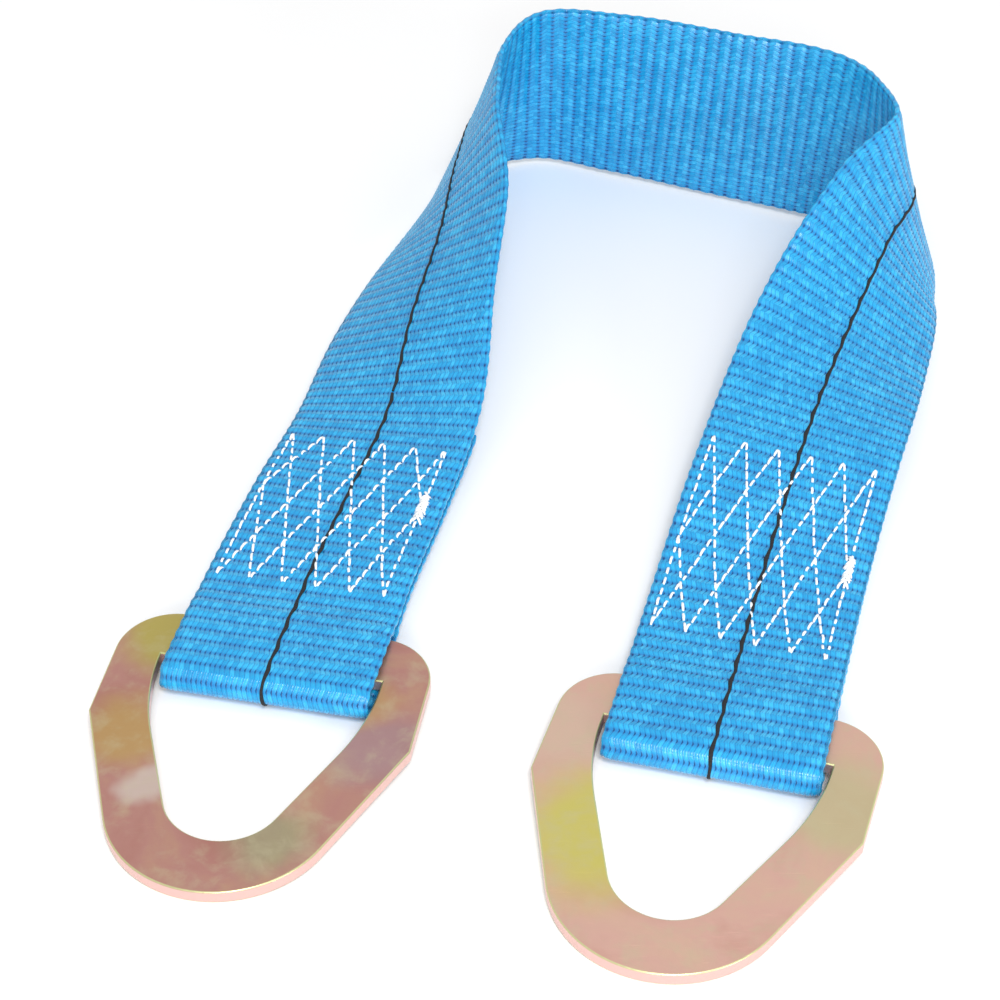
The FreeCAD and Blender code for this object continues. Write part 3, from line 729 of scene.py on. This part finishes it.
def cloth_point(side, distance, right, height):
    """Points over the cloth of one end, and the cloth's normal there. Height is above the ply's middle."""
    q = np.asarray(distance if side == "left" else MARK_END - np.asarray(distance), float)
    across = np.asarray(right if side == "left" else -np.asarray(right), float)
    middle, width, _, normal = web_at(q)
    return middle + width * across[:, None] + normal * np.asarray(height)[:, None], normal


def stitch(strands, side, a, b, face, lift, radius, chance):
    """One stitch from needle hole a to needle hole b, arched over the cloth."""
    t = np.linspace(0.0, 1.0, 9)
    bow = (chance.random() - 0.5) * 0.25
    length = math.dist(a, b)
    sideways = np.array([-(b[1] - a[1]), b[0] - a[0]]) / max(length, 1e-6)
    arch = np.sin(np.pi * t)
    distance = a[0] + (b[0] - a[0]) * t + sideways[0] * bow * arch
    right = a[1] + (b[1] - a[1]) * t + sideways[1] * bow * arch
    rise = -NEEDLE_DEPTH + (lift + NEEDLE_DEPTH) * arch**0.55
    base = WEB_THICK / 2 if face > 0 else -WEB_THICK / 2 - PLY_STEP
    path, normal = cloth_point(side, distance, right, base + face * rise)
    course = unit(np.gradient(path, axis=0))
    across = unit(np.cross(course, normal))
    thick = radius * (0.70 + 0.30 * arch**0.5)
    strands.add(path, across, normal * face, thick, thick * 0.85)


def seam(name, side, face):
    """All the stitches of one end on one face. Tension differs from run to run."""
    chance = random.Random(name)
    strands = Strands()
    for zigzag in ZIGZAGS:
        for first, last in zip(zigzag, zigzag[1:]):
            a, b = np.array(sewing_point(side, first)), np.array(sewing_point(side, last))
            length = float(np.linalg.norm(b - a))
            count = max(1, int(round(length / STITCH)))
            leaning = (b[1] - a[1]) * (b[0] - a[0]) > 0
            for k in range(count):
                slack = (0.03 if leaning else 0.08) + 0.20 * chance.random() ** 2
                start, end = (k + slack) / count, (k + 1 - slack) / count
                lift = (0.24 if leaning else 0.14) + 0.22 * (chance.random() - 0.5)
                jitter = (chance.random() - 0.5) * 0.5
                at = a + (b - a) * start + np.array([0.0, jitter * 0.4])
                to = a + (b - a) * end + np.array([0.0, jitter * 0.4])
                radius = THREAD_RADIUS * (0.92 + 0.16 * chance.random())
                stitch(strands, side, at, to, face, lift, radius, chance)
    thing = strands.build(name, WHITE)
    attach(thing, f"{side}_arm")
    return thing


def back_tack(side):
    """Knot of short lock stitches where the seam starts and ends."""
    chance = random.Random(f"tack {side}")
    strands = Strands()
    middle, right = sewing_point(side, "R")
    for k in range(TACK_STITCHES):
        along_it = (k - TACK_STITCHES // 2) * TACK_STEP
        lean = 1.1 if k % 2 else -1.0
        at = (middle + along_it - 1.5 + chance.random(), right - lean * (0.9 + 0.5 * chance.random()))
        to = (middle + along_it + 1.2 + chance.random(), right + lean * (0.8 + 0.5 * chance.random()))
        stitch(strands, side, at, to, 1, 0.35 + 0.35 * chance.random(), THREAD_RADIUS * 1.05, chance)
    thing = strands.build(f"lock_stitches_{side}", WHITE)
    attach(thing, f"{side}_arm")
    return thing


for side in ("left", "right"):
    needle, bobbin = seam(f"seam_top_{side}", side, 1), seam(f"seam_under_{side}", side, -1)
    knot = back_tack(side)
    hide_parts(f"needle_thread_{side}")
    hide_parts(f"bobbin_thread_{side}")
    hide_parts(f"back_tack_{side}")

# ------------------------------------------------------------ rings
ZINC = {
    "left": zinc_material(
        "zinc_left",
        [(-100.0, -93.0, 16.0, (0.56, 0.38, 0.12), 0.7), (-92.0, -64.0, 16.0, (0.50, 0.44, 0.10), 0.85),
         (-66.0, -128.0, 14.0, (0.34, 0.40, 0.22), 0.6), (-44.0, -100.0, 14.0, (0.40, 0.30, 0.34), 0.5),
         (-94.0, -112.0, 7.0, (0.74, 0.68, 0.60), 0.6), (-48.0, -84.0, 12.0, (0.60, 0.40, 0.14), 0.6)],
        [(0.25, (0.46, 0.20, 0.165)), (0.50, (0.52, 0.26, 0.22)), (0.75, (0.58, 0.36, 0.22))]),
    "right": zinc_material(
        "zinc_right",
        [(8.0, -125.0, 26.0, (0.66, 0.60, 0.15), 0.95), (-4.0, -95.0, 18.0, (0.72, 0.52, 0.40), 0.8),
         (60.0, -120.0, 20.0, (0.55, 0.56, 0.28), 0.6)],
        [(0.25, (0.66, 0.36, 0.29)), (0.50, (0.74, 0.45, 0.37)), (0.75, (0.74, 0.50, 0.36))]),
}
for side in ("left", "right"):
    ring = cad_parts[f"delta_ring_{side}"]
    ring.data.materials.clear()
    ring.data.materials.append(ZINC[side])

# ------------------------------------------------------------ floor, light and camera
floor_mesh = bpy.data.meshes.new("floor")
floor_mesh.from_pydata([(-3, -3, 0), (3, -3, 0), (3, 3, 0), (-3, 3, 0)], [], [(0, 1, 2, 3)])
floor = bpy.data.objects.new("floor", floor_mesh)
bpy.context.scene.collection.objects.link(floor)
paper, paper_tree, paper_shader = new_material("floor_paper")
paper_shader.inputs["Roughness"].default_value = 0.9
tint = ramp(paper_tree, noise(paper_tree, None, 3.0), [
    (0.0, (0.955, 0.955, 0.955)), (1.0, (0.965, 0.965, 0.965))])
paper_tree.links.new(tint, paper_shader.inputs["Base Color"])
floor_mesh.materials.append(paper)

world = bpy.data.worlds.new("studio")
world.use_nodes = True
world.node_tree.nodes["Background"].inputs["Color"].default_value = (1.0, 1.0, 1.0, 1.0)
world.node_tree.nodes["Background"].inputs["Strength"].default_value = 0.74
bpy.context.scene.world = world


def area_light(name, place, target, size, power):
    data = bpy.data.lights.new(name, "AREA")
    data.shape, data.size, data.energy = "DISK", size, power
    lamp = bpy.data.objects.new(name, data)
    lamp.location = place
    bpy.context.scene.collection.objects.link(lamp)
    aim = np.array(target, float) - np.array(place, float)
    lamp.rotation_euler = Vector(aim).to_track_quat("-Z", "Y").to_euler()


area_light("softbox_front", (0.10, -0.75, 1.0), (0.0, -0.05, 0.0), 0.3, 7.0)
area_light("softbox_low", (-0.05, -1.25, 0.60), (0.0, -0.05, 0.0), 0.35, 5.0)
area_light("softbox_side", (0.85, -0.95, 0.45), (0.0, 0.1, 0.02), 0.3, 4.0)

camera_data = bpy.data.cameras.new("camera")
camera_data.lens, camera_data.sensor_width = 88.56, 36.0
camera_data.clip_start, camera_data.clip_end = 0.05, 20.0
camera = bpy.data.objects.new("camera", camera_data)
camera.location = (-0.0155, -0.4944, 0.3941)
camera.rotation_euler = (math.radians(90.0 - 38.83), 0.0, 0.0)
bpy.context.scene.collection.objects.link(camera)
bpy.context.scene.camera = camera
bpy.context.scene.view_settings.view_transform = "Standard"
